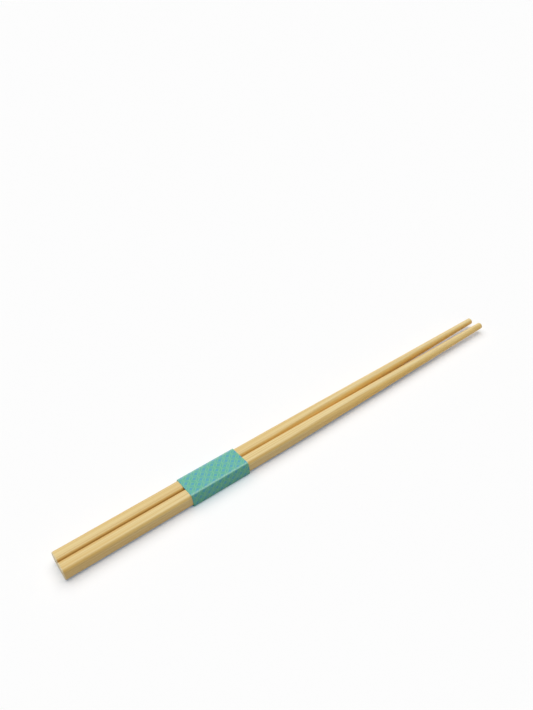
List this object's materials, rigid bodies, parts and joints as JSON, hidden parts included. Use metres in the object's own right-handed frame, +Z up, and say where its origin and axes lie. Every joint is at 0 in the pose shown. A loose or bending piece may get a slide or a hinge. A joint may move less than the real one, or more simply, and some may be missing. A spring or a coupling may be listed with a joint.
{
  "type": "pair of bamboo chopsticks",
  "caption": "Two bamboo chopsticks, square at the butt and turned to a round tip, held side by side by a printed paper band.",
  "frame": {"origin": "under the middle of the pair, on the surface that the paper band rests on", "axes": "+X along the sticks towards their tips, +Y across the pair, +Z up"},
  "size_m": [0.24, 0.0126, 0.0062],
  "materials": {
    "bamboo": "bare planed and turned bamboo, smooth, with a low sheen",
    "printed_paper": "matt printed paper, creased at the folds"
  },
  "bodies": {
    "root": {"chopstick_back": "bamboo", "chopstick_front": "bamboo", "paper_band": "printed_paper"}
  },
  "joints": []
}
